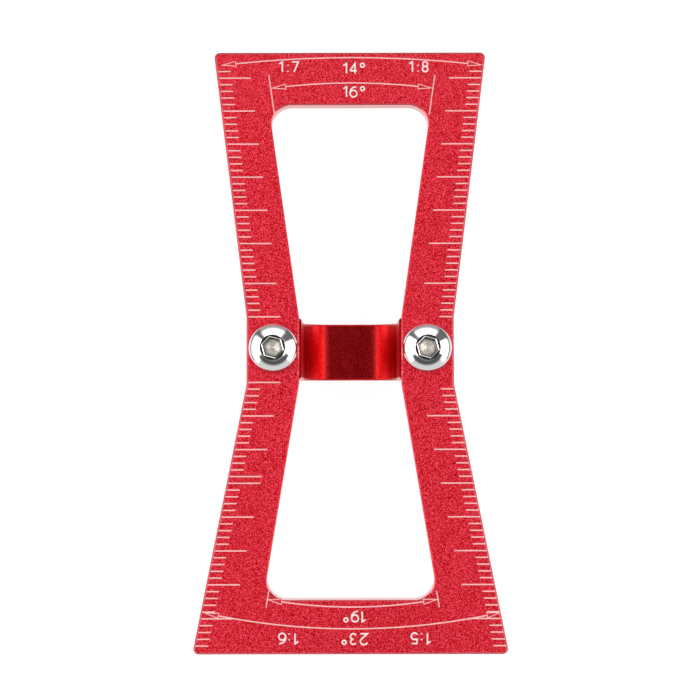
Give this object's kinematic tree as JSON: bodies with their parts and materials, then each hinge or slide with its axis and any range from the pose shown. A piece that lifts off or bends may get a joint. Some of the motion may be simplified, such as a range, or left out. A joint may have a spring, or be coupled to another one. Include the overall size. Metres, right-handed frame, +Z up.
{
  "type": "dovetail marker",
  "caption": "Hourglass-shaped anodised plate with engraved graduations and four dovetail slopes, screwed to a U-shaped fence block.",
  "frame": {"origin": "straight below the middle of the plate, on the surface that the fence block stands on", "axes": "+Y along the plate towards the end with the 1:7 and 1:8 slopes, +X across the waist, +Z up through the engraved face"},
  "size_m": [0.0466, 0.09, 0.0245],
  "materials": {
    "blasted_red_anodised": "bead blasted and red anodised, engraved marks pale",
    "bright_red_anodised": "smooth, bright red anodised",
    "polished_stainless": "polished stainless steel"
  },
  "bodies": {
    "root": {"frame_plate": "blasted_red_anodised", "fence_block": "bright_red_anodised", "left_screw": "polished_stainless", "right_screw": "polished_stainless"}
  },
  "joints": []
}
